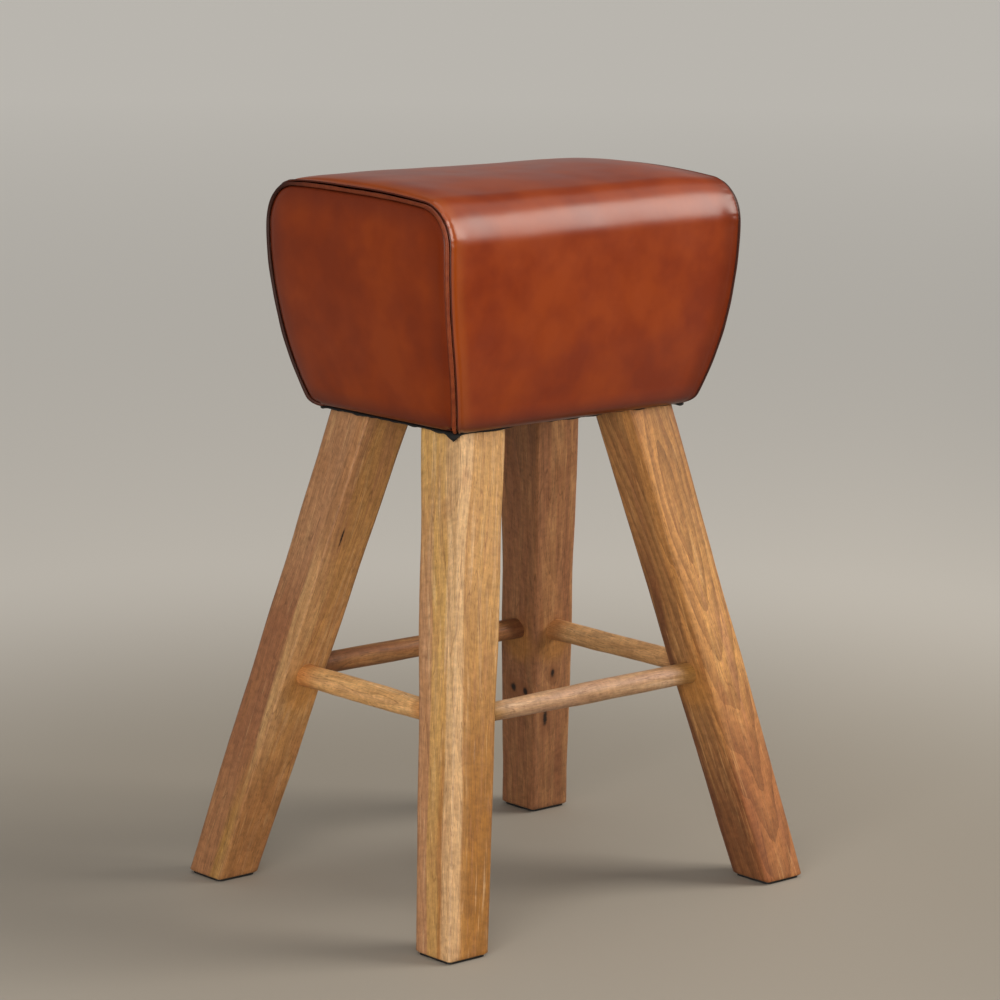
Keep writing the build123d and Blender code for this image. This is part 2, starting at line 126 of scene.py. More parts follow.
def make_camera():
    data = bpy.data.cameras.new("camera")
    data.lens = camera_lens
    data.shift_x = camera_shift
    camera = bpy.data.objects.new("camera", data)
    camera.location = camera_place
    turned = Euler((math.pi / 2 + camera_pitch, 0, -camera_heading)).to_matrix()
    camera.rotation_euler = (turned @ Matrix.Rotation(camera_roll, 3, "Z")).to_euler()
    bpy.context.scene.collection.objects.link(camera)
    bpy.context.scene.camera = camera


make_camera()


# Colours and nodes
def linear(code, alpha=1):
    """A colour written as sRGB hex, turned to linear values."""
    values = [int(code[k : k + 2], 16) / 255 for k in (1, 3, 5)]
    turned = [v / 12.92 if v <= 0.04045 else ((v + 0.055) / 1.055) ** 2.4 for v in values]
    return (*turned, alpha)


def add(tree, kind, inputs=None, take=0, stops=(), **settings):
    """Adds a node with its settings, sets or links its inputs and gives back one of its outputs."""
    made = tree.nodes.new("ShaderNode" + kind)
    for key, value in settings.items():
        setattr(made, key, value)
    for key, value in (inputs or {}).items():
        socket = made.inputs[key]
        if isinstance(value, bpy.types.NodeSocket):
            tree.links.new(value, socket)
        else:
            socket.default_value = value
    if stops:
        elements = made.color_ramp.elements
        elements[0].position, elements[1].position = stops[0][0], stops[-1][0]
        elements[0].color, elements[1].color = linear(stops[0][1]), linear(stops[-1][1])
        for position, colour in stops[1:-1]:
            elements.new(position).color = linear(colour)
    return made.outputs[take] if made.outputs else made


def start_material(name):
    """A material, its emptied node tree and the coordinates of the piece that it is on."""
    material = bpy.data.materials.new(name)
    material.use_nodes = True
    tree = material.node_tree
    tree.nodes.clear()
    return material, tree, add(tree, "TexCoord", take="Object")


def finish_material(material, surface_inputs):
    surface = add(material.node_tree, "BsdfPrincipled", surface_inputs)
    add(material.node_tree, "OutputMaterial", {"Surface": surface})
    return material


def smoothstep(low, high, value):
    share = np.clip((value - low) / (high - low), 0, 1)
    return share * share * (3 - 2 * share)


def uneven(points, size, seed):
    """Smooth noise from -1 to 1 at each point, with hills about as wide as the size."""
    seed_stride = 7.31
    flat = points.reshape(-1, 3) / size + seed * seed_stride
    values = [noise.noise(Vector(p)) for p in flat]
    return np.array(values).reshape(points.shape[:-1])


def normals_of(points):
    """Unit normals of a grid of points."""
    along = np.gradient(points, axis=0)
    across = np.gradient(points, axis=1)
    normal = np.cross(across, along)
    return normal / np.maximum(np.linalg.norm(normal, axis=-1, keepdims=True), 1e-12)


def link_mesh(name, bm, material, smooth_angle=40):
    for edge in bm.edges:
        if len(edge.link_faces) == 2 and edge.calc_face_angle(0) > math.radians(smooth_angle):
            edge.smooth = False
    for face in bm.faces:
        face.smooth = True
    mesh = bpy.data.meshes.new(name)
    bm.to_mesh(mesh)
    bm.free()
    if material:
        mesh.materials.append(material)
    piece = bpy.data.objects.new(name, mesh)
    bpy.context.scene.collection.objects.link(piece)
    return piece


def grid_mesh(points, **values):
    """A grid whose vertices are moved to the given points, with a value of each kind at each vertex."""
    rows, columns = points.shape[:2]
    bm = bmesh.new()
    bmesh.ops.create_grid(bm, x_segments=columns - 1, y_segments=rows - 1, size=1)
    layers = {key: bm.verts.layers.float.new(key) for key in values}
    for index, vert in enumerate(bm.verts):
        row, column = divmod(index, columns)
        vert.co = points[row, column]
        for key, layer in layers.items():
            vert[layer] = float(values[key][row, column])
    return bm


merge_distance = 0.02 * mm


def close_tube(bm):
    """Joins the grid's first and last columns, caps its ends and turns its faces outwards."""
    bmesh.ops.remove_doubles(bm, verts=bm.verts, dist=merge_distance)
    bmesh.ops.holes_fill(bm, edges=[e for e in bm.edges if e.is_boundary], sides=0)
    bmesh.ops.recalc_face_normals(bm, faces=bm.faces)


# The seat's curves
def side_arcs(widest, waist, hem):
    """Two arcs of a side as (centre across, centre height, radius, low angle, high angle)."""
    drop = shoulder_height - waist_height
    draw_in = widest - waist
    upper_radius = (draw_in**2 + drop**2) / (2 * draw_in)
    lean = math.asin(drop / upper_radius)
    step = (hem - waist, hem_height - waist_height)
    inward = (-math.cos(lean), math.sin(lean))
    lower_radius = (step[0] ** 2 + step[1] ** 2) / (2 * (step[0] * inward[0] + step[1] * inward[1]))
    centre = (waist + inward[0] * lower_radius, waist_height + inward[1] * lower_radius)
    hem_lean = math.asin((centre[1] - hem_height - hem_fold_radius) / (lower_radius - hem_fold_radius))
    upper = (widest - upper_radius, shoulder_height, upper_radius, -lean, 0)
    return (*centre, lower_radius, -hem_lean, -lean), upper


def arc_rows(arc, count):
    """Points and outward directions along an arc, without its last point."""
    across, height, radius, low, high = arc
    angles = low + (high - low) * np.arange(count) / count
    direction = np.stack([np.cos(angles), np.sin(angles)], -1)
    return np.array([across, height]) + radius * direction, direction


def joined(rows):
    points, directions = zip(*rows)
    return np.concatenate(points), np.concatenate(directions)


end_arcs = side_arcs(
    seat_half_length,
    seat_half_length - end_draw_in_at_waist,
    seat_half_length - end_draw_in_at_waist - end_draw_in_at_hem,
)
long_arcs = side_arcs(
    seat_half_width,
    seat_half_width - side_draw_in_at_waist,
    seat_half_width - side_draw_in_at_waist - side_draw_in_at_hem,
)
under_rows, fold_rows, lower_rows, upper_rows, corner_rows, crown_rows = 3, 9, 32, 38, 28, 34


def hem_arc(lower_arc):
    """The fold where the leather turns under the seat, tangent to the side's lower arc."""
    across, height, radius, low, _ = lower_arc
    reach = radius - hem_fold_radius
    centre = (across + reach * math.cos(low), height + reach * math.sin(low))
    return (*centre, hem_fold_radius, -math.pi / 2, low)


def side_rows(arcs):
    """Rows from under the hem up to the shoulder, as (across, height) and outward directions."""
    lower, upper = arcs
    fold = hem_arc(lower)
    start = np.array([fold[0], fold[1] - fold[2]])
    shares = np.linspace(1, 1 / under_rows, under_rows)[:, None]
    under = start - np.array([hem_under, 0]) * shares
    down = np.tile([0.0, -1.0], (under_rows, 1))
    arcs = (fold, fold_rows), (lower, lower_rows), (upper, upper_rows)
    return joined([(under, down), *(arc_rows(arc, count) for arc, count in arcs)])


def crown_at(crown_share):
    """The long edge's radius and the crown's rise, from the end seam's to the full ones."""
    radius = end_corner_radius + (crown_corner_radius - end_corner_radius) * crown_share
    rise = end_crown_rise + (crown_rise - end_crown_rise) * crown_share
    return radius, rise


def top_rows(crown_share):
    """Rows from the shoulder over the rounded edge to the middle of the crown."""
    radius, rise = crown_at(crown_share)
    room = seat_half_width - radius
    turn = 2 * math.atan(rise / room)
    crown_radius = (room + radius * math.sin(turn)) / math.sin(turn)
    corner = (room, shoulder_height, radius, 0, math.pi / 2 - turn)
    crown = (0, shoulder_height + radius + rise - crown_radius, crown_radius, math.pi / 2 - turn, math.pi / 2)
    return joined([arc_rows(corner, corner_rows), arc_rows(crown, crown_rows)])


def top_middle(crown_share):
    radius, rise = crown_at(crown_share)
    return shoulder_height + radius + rise


def crown_share_at(x):
    """How much of the crown's full height it has at each place along the seat."""
    run = left_crown_run if x < 0 else right_crown_run
    from_end = max(seat_half_length - abs(x), 0)
    return 1 - (1 - min(from_end / run, 1)) ** 3


def end_reach(height):
    """How far out the end stands at each height, and the cosine of its lean there."""
    lower, upper = end_arcs
    fold = hem_arc(lower)
    fold_top = fold[1] + fold[2] * math.sin(fold[4])
    height = np.minimum(height, shoulder_height)
    reach, cosine = np.zeros_like(height), np.zeros_like(height)
    for (across, middle, radius, _, _), start in ((fold, -1.0), (lower, fold_top), (upper, waist_height)):
        here = height >= start
        cosine[here] = np.sqrt(1 - np.clip((middle - height[here]) / radius, -1, 1) ** 2)
        reach[here] = across + radius * cosine[here]
    return reach, cosine


# Leather cover
def spaced(length, first, growth, largest):
    """Distances from an edge to the length, close together at the edge and wider further in."""
    found, step = [0.0], first
    while found[-1] + step < length:
        found.append(found[-1] + step)
        step = min(step * growth, largest)
    return np.array(found) * length / found[-1]


def hand_stuffed(points):
    """Moves the cover's pieces alike where the padding is fuller, at the rear shoulder."""
    x, y, z = points[..., 0], points[..., 1], points[..., 2]
    shoulder = smoothstep(waist_height, full_shoulder_height, z)
    top = smoothstep(shoulder_height, full_top_height, z)
    to_the_left = 1 - smoothstep(*rear_lift_fades, x)
    moved = points.copy()
    moved[..., 1] += rear_fullness * shoulder * smoothstep(*rear_fullness_grows, y)
    moved[..., 2] += rear_lift * top * smoothstep(*rear_lift_grows, y) * to_the_left
    return moved


def seam_relief(distance, rounding, turn, ridge):
    """Height of the leather beside the piping: rounded over, turned in, raised over its allowance."""
    rounded = -rounding * np.clip(1 - distance / rounding_width, 0, 1) ** 2
    turned_in = -turn * np.clip(1 - distance / turn_width, 0, 1) ** 2
    raised = smoothstep(*ridge_rises, distance) * (1 - smoothstep(*ridge_falls, distance))
    return rounded + turned_in + ridge * raised


# Columns from each end of the wrap, as shares of half its length
column_shares = {"first": 0.0045, "growth": 1.07, "largest": 0.02}
least_cosine = 0.6


def wrap_points():
    """The wrap's grid from the rear hem over to the front hem, and each point's distance from a seam."""
    half = spaced(1, **column_shares)
    shares = np.concatenate([half[:-1] - 1, (1 - half)[::-1]])
    side, _ = side_rows(long_arcs)
    reach, cosine = end_reach(side[:, 1])
    side_x = reach - seam_inset / np.maximum(cosine, least_cosine)
    top_x = seat_half_length - seam_inset
    columns, distances = [], []
    for share in shares:
        crown_share = crown_share_at(share * top_x)
        top, _ = top_rows(crown_share)
        outline = np.concatenate([side, top])
        reach_x = np.concatenate([side_x, np.full(len(top), top_x)])
        full = np.concatenate([outline, [[0, top_middle(crown_share)]], outline[::-1] * [-1, 1]])
        full_x = np.concatenate([reach_x, [top_x], reach_x[::-1]])
        columns.append(np.column_stack([share * full_x, full[:, 0], full[:, 1]]))
        distances.append((1 - abs(share)) * full_x)
    return np.stack(columns, 1), np.stack(distances, 1)


# The cloth simulation of a panel: how far from a seam and above the hem it is held
held_at_seam, held_above_hem = 2 * mm, 6 * mm
row_step, settling_frames, smoothing_passes = 3, 20, 8


def filled_out(points, distance, most):
    """How far a panel swells over its padding: a cloth simulation on every third row and column.

    Its seams and hem are held, and the farthest point moves out by the most.
    """
    rows, columns = [np.unique(np.linspace(0, n - 1, n // row_step).astype(int)) for n in points.shape[:2]]
    coarse = points[np.ix_(rows, columns)]
    at_seam = distance[np.ix_(rows, columns)] < held_at_seam
    held = at_seam | (coarse[..., 2] < hem_height + held_above_hem)
    piece = link_mesh("hide_over_padding", grid_mesh(coarse), None)
    group = piece.vertex_groups.new(name="held")
    group.add([int(k) for k in np.flatnonzero(held)], 1, "REPLACE")
    cloth = piece.modifiers.new("cloth", "CLOTH")
    cloth.collision_settings.use_collision = False
    hide = cloth.settings
    hide.quality = 6
    hide.mass = 0.3
    hide.tension_stiffness = hide.compression_stiffness = 25
    hide.shear_stiffness = 15
    hide.bending_stiffness = 1.5
    hide.use_pressure = True
    hide.uniform_pressure_force = 4
    hide.vertex_group_mass = "held"
    hide.effector_weights.gravity = 0
    scene = bpy.context.scene
    for step in range(1, settling_frames + 1):
        scene.frame_set(step)
    settled = piece.evaluated_get(bpy.context.evaluated_depsgraph_get())
    places = np.empty(3 * len(settled.data.vertices))
    settled.data.vertices.foreach_get("co", places)
    moved = ((places.reshape(coarse.shape) - coarse) * normals_of(coarse)).sum(-1)
    mesh = piece.data
    bpy.data.objects.remove(piece)
    bpy.data.meshes.remove(mesh)
    scene.frame_set(1)
    moved = np.maximum(moved, 0)
    moved *= most / max(moved.max(), most)
    along = np.stack([np.interp(np.arange(len(points)), rows, line) for line in moved.T], 1)
    full = np.stack([np.interp(np.arange(points.shape[1]), columns, line) for line in along])
    for _ in range(smoothing_passes):
        padded = np.pad(full, 1, mode="edge")
        full = (padded[:-2, 1:-1] + padded[2:, 1:-1] + padded[1:-1, :-2] + padded[1:-1, 2:]) / 4
    return full


def dress(points, distance, seed, seam, swell):
    """Moves a panel's points out along its normals: swelling, hand-made unevenness and its seam."""
    normal = normals_of(points)
    free = smoothstep(0, free_above_hem, points[..., 2] - hem_height)
    lift = swell * (1 - np.exp(-distance / swell_width)) * free
    lift += filled_out(points, distance, padding_swell) * free
    for k, (height, width, eased) in enumerate(leather_hills):
        lift += height * uneven(points, width, seed + k) * free * smoothstep(0, eased, distance)
    return hand_stuffed(points + normal * (lift + seam)[..., None])


def leather_wrap(material):
    points, distance = wrap_points()
    at_corner = smoothstep(*pucker_heights, points[..., 2])
    at_corner *= smoothstep(*pucker_across, np.abs(points[..., 1]))
    along_seam = np.cumsum(np.linalg.norm(np.diff(points[:, 0], axis=0, prepend=points[:1, 0]), axis=-1))
    pucker = np.sin(along_seam[:, None] / pucker_wave + 2 * np.sin(along_seam[:, None] / pucker_drift))
    from_middle = (distance - pucker_from_seam) / pucker_width
    pucker = pucker_height * pucker * at_corner * np.exp(-(from_middle**2))
    away = np.linalg.norm(np.abs(points) - dimple_place, axis=-1)
    dimple = dimple_depth * np.exp(-((away / dimple_width) ** 2))
    ridge = np.where(points[..., 0] < 0, left_ridge, right_ridge)
    seam = seam_relief(distance, wrap_rounding, wrap_turn, ridge) + pucker - dimple
    points = dress(points, distance, 1, seam, wrap_swell)
    return finish_leather("leather_wrap", points, distance, material)


def finish_leather(name, points, distance, material):
    """Makes a panel with its thickness, and with the values that its colour follows at each point: painted
    shade, a painted highlight and a darker border.
    """
    height = points[..., 2] - hem_height
    left_end = points[..., 0] < 0
    allowance = smoothstep(*allowance_rises, distance) * left_end
    allowance *= 1 - smoothstep(*allowance_fades, distance)
    far_edge = (1 - smoothstep(*far_edge_fades, distance)) * ~left_end
    values = {"seam_distance": distance, "hem_distance": height, "allowance": allowance, "far_edge": far_edge}
    bm = grid_mesh(points, **values)
    piece = link_mesh(name, bm, material, smooth_angle=70)
    wall = piece.modifiers.new("thickness", "SOLIDIFY")
    wall.thickness = leather_thickness
    wall.offset = -1
    return piece


def end_outline():
    """The end seam from the rear hem over the top to the front hem, and its outward directions."""
    side, side_out = side_rows(long_arcs)
    top, top_out = top_rows(0)
    half = np.concatenate([side[under_rows:], top])
    out = np.concatenate([side_out[under_rows:], top_out])
    middle = [[0, top_middle(0)]]
    outline = np.concatenate([half, middle, half[::-1] * [-1, 1]])
    direction = np.concatenate([out, [[0, 1]], out[::-1] * [-1, 1]])
    return outline, direction


def end_panel(side, material):
    """An end's panel: a grid drawn between the seam's two sides, its top and the hem."""
    outline, direction = end_outline()
    border = outline - seam_inset * direction
    turn_rows = fold_rows + lower_rows + upper_rows + corner_rows // 2
    left = border[: turn_rows + 1]
    right = border[::-1][: turn_rows + 1]
    top = border[turn_rows : len(border) - turn_rows]
    columns = len(top)
    v = np.linspace(0, 1, turn_rows + 1)[:, None, None]
    u = np.linspace(0, 1, columns)[None, :, None]
    bottom = left[0] + (right[0] - left[0]) * u[0]
    patch = (1 - u) * left[:, None] + u * right[:, None] + (1 - v) * bottom[None] + v * top[None]
    patch -= (1 - u) * (1 - v) * left[0] + u * (1 - v) * right[0] + (1 - u) * v * left[-1] + u * v * right[-1]
    flat = patch.reshape(-1, 2)
    gaps = np.linalg.norm(flat[:, None] - border[None], axis=-1).min(1).reshape(patch.shape[:2])
    reach, _ = end_reach(patch[..., 1])
    points = np.stack([side * reach, patch[..., 0], patch[..., 1]], -1)
    profile, _ = side_rows(end_arcs)
    below = []
    for across, height in profile[:under_rows]:
        row = np.column_stack([np.full(columns, side * across), bottom[:, 0], np.full(columns, height)])
        below.append(row)
    points = np.concatenate([np.array(below), points])
    gaps = np.concatenate([np.tile(gaps[:1], (len(below), 1)), gaps])
    seam = seam_relief(gaps, end_rounding, end_turn, 0.0)
    if side > 0:
        points = points[:, ::-1]
        gaps = gaps[:, ::-1]
        seam = seam[:, ::-1]
    points = dress(points, gaps, 5 + side, seam, end_swell)
    name = "leather_end_left" if side < 0 else "leather_end_right"
    return finish_leather(name, points, gaps, material)


# The piping's ends, tucked under the hem: outwards along the seat, outwards across it and up
piping_tuck = ((-7 * mm, -5 * mm, 0.5 * mm), (-1.5 * mm, -1 * mm, -1.2 * mm))
piping_sides = 14


def piping(side, material):
    """A thin cord in leather that follows the seam, with its ends tucked under the hem."""
    outline, direction = end_outline()
    reach, _ = end_reach(outline[:, 1])
    sink = piping_sink + piping_sink_on_top * np.maximum(direction[:, 1], 0)
    path = np.column_stack([side * (reach - sink), outline - sink[:, None] * direction])
    path = hand_stuffed(path)
    tuck = np.array(piping_tuck) * [side, 1, 1]
    first = path[0] + tuck
    last = (path[-1] + tuck * [1, -1, 1])[::-1]
    path = np.concatenate([first, path, last])
    tangent = np.gradient(path, axis=0)
    tangent /= np.linalg.norm(tangent, axis=-1, keepdims=True)
    across = np.cross(tangent, [1.0, 0, 0])
    across /= np.linalg.norm(across, axis=-1, keepdims=True)
    third = np.cross(tangent, across)
    angles = np.linspace(0, 2 * math.pi, piping_sides + 1)
    along = np.linspace(0, 1, len(path))
    radius = piping_radius * (1 + 0.05 * np.sin(along * 61) + 0.04 * np.sin(along * 137 + 2))
    ring = np.cos(angles)[None, :, None] * across[:, None] + np.sin(angles)[None, :, None] * third[:, None]
    points = path[:, None] + radius[:, None, None] * ring
    bm = grid_mesh(points)
    close_tube(bm)
    name = "piping_cord_left" if side < 0 else "piping_cord_right"
    return link_mesh(name, bm, material)


# Legs
pad_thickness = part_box("foot_pad_front_left")[1].z
leg_low, leg_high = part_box("leg_front_left")
leg_top_height = leg_high.z
foot_side = 55.4 * mm
leg_top_side = 64.3 * mm
foot_place = (-(leg_low.x + foot_side / 2), -(leg_low.y + foot_side / 2))
leg_top_place = (-(leg_high.x - leg_top_side / 2), -(leg_high.y - leg_top_side / 2))
# Radii of a leg's long edges, at the rear right, rear left, front left and front right
leg_edge_radii = (7.4 * mm, 7.4 * mm, 3.0 * mm, 7.4 * mm)
foot_chamfer = 1.4 * mm
edge_wear_length = 90 * mm
# Rows of a leg above its pad, closer at both ends
leg_rows = np.concatenate([[0, 0.5, 1.4], np.linspace(5, 506.5, 130), [508.4, 509.4]]) * mm
# Hills left by the saw and by sanding: height and width, and how much longer they are along the leg
leg_hills = ((0.35 * mm, 26 * mm), (0.12 * mm, 7 * mm))
leg_hill_stretch = 3.0
tenon_depth = 16 * mm
stretcher_height = (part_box("stretcher_front")[0].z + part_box("stretcher_front")[1].z) / 2
legs = {
    "leg_front_left": (-1, -1),
    "leg_front_right": (1, -1),
    "leg_rear_left": (-1, 1),
    "leg_rear_right": (1, 1),
}


def leg_centre(height, corner):
    share = (height - pad_thickness) / (leg_top_height - pad_thickness)
    x = foot_place[0] + (leg_top_place[0] - foot_place[0]) * share
    y = foot_place[1] + (leg_top_place[1] - foot_place[1]) * share
    return Vector((corner[0] * x, corner[1] * y, height))


def leg_side(height):
    share = (height - pad_thickness) / (leg_top_height - pad_thickness)
    return foot_side + (leg_top_side - foot_side) * share


def eased_square(side, radii, steps, flat_steps):
    """Points round a square with rounded corners, closed on itself, and their outward directions."""
    points, directions = [], []
    for quarter, radius in enumerate(radii):
        turn = math.pi / 2 * quarter
        inset = side / 2 - radius
        for k in range(steps + 1):
            angle = turn + math.pi / 2 * k / steps
            middle = turn + math.pi / 4
            centre = (math.copysign(inset, math.cos(middle)), math.copysign(inset, math.sin(middle)))
            out = (math.cos(angle), math.sin(angle))
            points.append((centre[0] + radius * out[0], centre[1] + radius * out[1]))
            directions.append(out)
        after = turn + math.pi / 2
        out = (math.cos(after), math.sin(after))
        start = points[-1]
        along = (-math.sin(after), math.cos(after))
        flat = side - radius - radii[(quarter + 1) % 4]
        for k in range(1, flat_steps):
            step = flat * k / flat_steps
            points.append((start[0] + along[0] * step, start[1] + along[1] * step))
            directions.append(out)
    return np.array(points + points[:1]), np.array(directions + directions[:1])


def leg_piece(name, corner, seed, material):
    """A tapered square post that leans out both ways, sawn, planed and sanded by hand."""
    rows = []
    for height in leg_rows + pad_thickness:
        above = height - pad_thickness
        ease = foot_chamfer * (1 - min(above / foot_chamfer, 1)) ** 1.5
        wear_and_painted_shade = 1 + 0.5 * noise.noise(Vector((seed * 3.1, 0, height / edge_wear_length)))
        radii = [wear_and_painted_shade * radius for radius in leg_edge_radii]
        outline, out = eased_square(leg_side(height) - 2 * ease, radii, steps=8, flat_steps=8)
        centre = leg_centre(height, corner)
        level = np.full(len(outline), height)
        rows.append(np.column_stack([centre.x + outline[:, 0], centre.y + outline[:, 1], level]))
    points = np.stack(rows)
    stretched = points / np.array([1, 1, leg_hill_stretch])
    lift = np.zeros(points.shape[:2])
    for k, (height, width) in enumerate(leg_hills):
        lift += height * uneven(stretched, width, seed + 2 * k)
    flat = np.column_stack([out, np.zeros(len(out))])
    points = points + flat[None] * lift[..., None]
    points[:, -1] = points[:, 0]
    bm = grid_mesh(points)
    close_tube(bm)
    return link_mesh(name + "_post", bm, material, smooth_angle=50)


# Each stretcher's own diameters at its start, middle and end, along x or y
stretcher_diameters = {
    "stretcher_front": (18.4 * mm, 22.6 * mm, 23.0 * mm),
    "stretcher_rear": (23.2 * mm, 23.5 * mm, 23.0 * mm),
    "stretcher_left": (23.2 * mm, 24.4 * mm, 24.6 * mm),
    "stretcher_right": (21.2 * mm, 22.6 * mm, 24.4 * mm),
}
slow_waver, fine_waver, shaved_off = 0.55 * mm, 0.2 * mm, 0.15 * mm
bar_rows, bar_sides = 90, 32


def runs_along(name):
    """The axis that a stretcher runs along, 0 for x or 1 for y."""
    low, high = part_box(name)
    return 0 if high.x - low.x > high.y - low.y else 1


def stretcher_piece(name, seed, material):
    """A bar rounded by hand, whose girth wavers a little."""
    low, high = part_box(name)
    middle = (low + high) / 2
    along = runs_along(name)
    start, end = low[along], high[along]
    shares = np.linspace(0, 1, bar_rows)
    diameters = np.interp(shares, (0, 0.5, 1), stretcher_diameters[name])
    rows = []
    for share, diameter in zip(shares, diameters):
        place = start + (end - start) * share
        row = []
        for angle in np.linspace(0, 2 * math.pi, bar_sides + 1):
            out = Vector((0, math.cos(angle), math.sin(angle)))
            spot = Vector((share * 6, out.y * 1.2, out.z * 1.2)) + Vector((seed, seed, seed))
            fine = Vector((share * 16, out.y * 3, out.z * 3)) + Vector((seed, 0, seed))
            waver = slow_waver * noise.noise(spot) + fine_waver * noise.noise(fine)
            radius = diameter / 2 + waver - shaved_off
            point = [middle.x, middle.y, middle.z + radius * math.sin(angle)]
            point[along] = place
            point[1 - along] += radius * math.cos(angle)
            row.append(point)
        row[-1] = row[0]
        rows.append(row)
    bm = grid_mesh(np.array(rows))
    close_tube(bm)
    return link_mesh(name + "_bar", bm, material, smooth_angle=50)


# Dust cover
cover_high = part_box("dust_cover")[1]
cover_drop, cover_thickness = 0.1 * mm, 0.5 * mm
gap_round_legs = 1.2 * mm
cover_sag, sag_width, taut_edge = 0.5 * mm, 40 * mm, 15 * mm


def dust_cover(material):
    """Black cloth under the seat, cut out round the legs."""
    bm = bmesh.new()
    bmesh.ops.create_grid(bm, x_segments=1, y_segments=1, size=1)
    bmesh.ops.scale(bm, vec=(cover_high.x, cover_high.y, 1), verts=bm.verts)
    reach = leg_top_side / 2 + gap_round_legs
    for corner in legs.values():
        centre = leg_centre(hem_height, corner)
        for axis in (0, 1):
            for side in (-1, 1):
                at, normal = Vector(), Vector()
                at[axis] = centre[axis] + side * reach
                normal[axis] = 1
                geometry = bm.verts[:] + bm.edges[:] + bm.faces[:]
                bmesh.ops.bisect_plane(bm, geom=geometry, plane_co=at, plane_no=normal)
    holes = []
    for face in bm.faces:
        middle = face.calc_center_median()
        for corner in legs.values():
            centre = leg_centre(hem_height, corner)
            if abs(middle.x - centre.x) < reach and abs(middle.y - centre.y) < reach:
                holes.append(face)
    bmesh.ops.delete(bm, geom=holes, context="FACES")
    bmesh.ops.subdivide_edges(bm, edges=bm.edges, cuts=5, use_grid_fill=True)
    for vert in bm.verts:
        sag = cover_sag * (1 + noise.noise(vert.co / sag_width))
        inside = min(cover_high.x - abs(vert.co.x), cover_high.y - abs(vert.co.y))
        vert.co.z = hem_height - cover_drop - sag * min(inside / taut_edge, 1)
    bmesh.ops.recalc_face_normals(bm, faces=bm.faces)
    piece = link_mesh("dust_cover_cloth", bm, material)
    wall = piece.modifiers.new("thickness", "SOLIDIFY")
    wall.thickness = cover_thickness
    wall.offset = -1
    return piece


# The roll of cloth at the cover's edge, with its thickness and unevenness in millimetres
roll_outset, roll_drop = 1.2 * mm, 0.3 * mm
roll_radius, roll_fine, roll_wide = 0.7, 0.25, 2.2
rough_width, fine_width, wide_width = 9 * mm, 4 * mm, 22 * mm
roll_places, roll_sides = 110, 10
# Its bunches at the corners that are near, right, back and left in the main view
corner_bunches, bunch_width = (4.2, 2.2, 2.2, 0.8), 8 * mm


def dust_cover_edge(material):
    """The cover's edge, rolled up beside the hem and bunched at the seat's corners."""
    half_x, half_y = cover_high.x + roll_outset, cover_high.y + roll_outset
    corners = [(-half_x, -half_y), (half_x, -half_y), (half_x, half_y), (-half_x, half_y)]
    path, swell = [], []
    for k, start in enumerate(corners):
        end = corners[(k + 1) % 4]
        run = math.hypot(end[0] - start[0], end[1] - start[1])
        for share in np.linspace(0, 1, roll_places, endpoint=False):
            x = start[0] + (end[0] - start[0]) * share
            y = start[1] + (end[1] - start[1]) * share
            near = min(share, 1 - share) * run
            amount = corner_bunches[k] if share < 0.5 else corner_bunches[(k + 1) % 4]
            path.append((x, y))
            swell.append(amount * math.exp(-((near / bunch_width) ** 2)))
    path.append(path[0])
    swell.append(swell[0])
    rows = []
    for k, ((x, y), bunch) in enumerate(zip(path, swell)):
        before, after = path[k - 1 if k else -2], path[(k + 1) % (len(path) - 1)]
        tangent = Vector((after[0] - before[0], after[1] - before[1], 0)).normalized()
        side = Vector((tangent.y, -tangent.x, 0))
        rough = noise.noise(Vector((x, y, 0)) / rough_width)
        rough += 0.6 * noise.noise(Vector((x, y, 3)) / fine_width)
        wide = max(noise.noise(Vector((x, y, 7)) / wide_width), 0)
        radius = (roll_radius + roll_fine * rough + roll_wide * wide + bunch * (1 + 0.3 * rough)) * mm
        centre = Vector((x, y, hem_height - roll_drop - radius * 0.75)) - side * radius * 0.12 * bunch
        row = []
        for angle in np.linspace(0, 2 * math.pi, roll_sides + 1):
            out = side * math.cos(angle) + Vector((0, 0, 0.85 * math.sin(angle)))
            row.append(centre + radius * out)
        row[-1] = row[0]
        rows.append(row)
    rows[-1] = rows[0]
    bm = grid_mesh(np.array(rows))
    bmesh.ops.remove_doubles(bm, verts=bm.verts, dist=merge_distance)
    bmesh.ops.recalc_face_normals(bm, faces=bm.faces)
    return link_mesh("dust_cover_edge", bm, material, smooth_angle=80)


# Materials
def layered(tree, colour, layers):
    """Lays tones over a colour: each comes in as its value goes from low to high, at the two amounts."""
    for value, low, high, start, end, tone in layers:
        settings = {0: value, 1: low, 2: high, 3: start, 4: end}
        share = add(tree, "MapRange", settings, interpolation_type="SMOOTHSTEP")
        colour = add(tree, "Mix", {0: share, 6: colour, 7: linear(tone)}, take=2, data_type="RGBA")
    return colour


def noises(tree, coords, seed, table):
    """Noise patterns: name, (size across in metres, stretch along the grain, detail, roughness)."""
    made = {}
    for place, (name, (size, stretch, detail, roughness)) in enumerate(table.items()):
        scale = (1 / size, 1 / size, 1 / (size * stretch))
        shift = (seed + place, seed - place, seed * 0.5)
        drawn = add(tree, "Mapping", {"Vector": coords, "Scale": scale, "Location": shift})
        settings = {"Vector": drawn, "Scale": 1.0, "Detail": detail, "Roughness": roughness}
        made[name] = add(tree, "TexNoise", settings)
    return made


leather_patterns = {
    "cloud": (56 * mm, 1, 3, 0.5),
    "mottle": (18 * mm, 1, 2, 0.5),
    "grain": (2 * mm, 1, 1, 0.5),
}


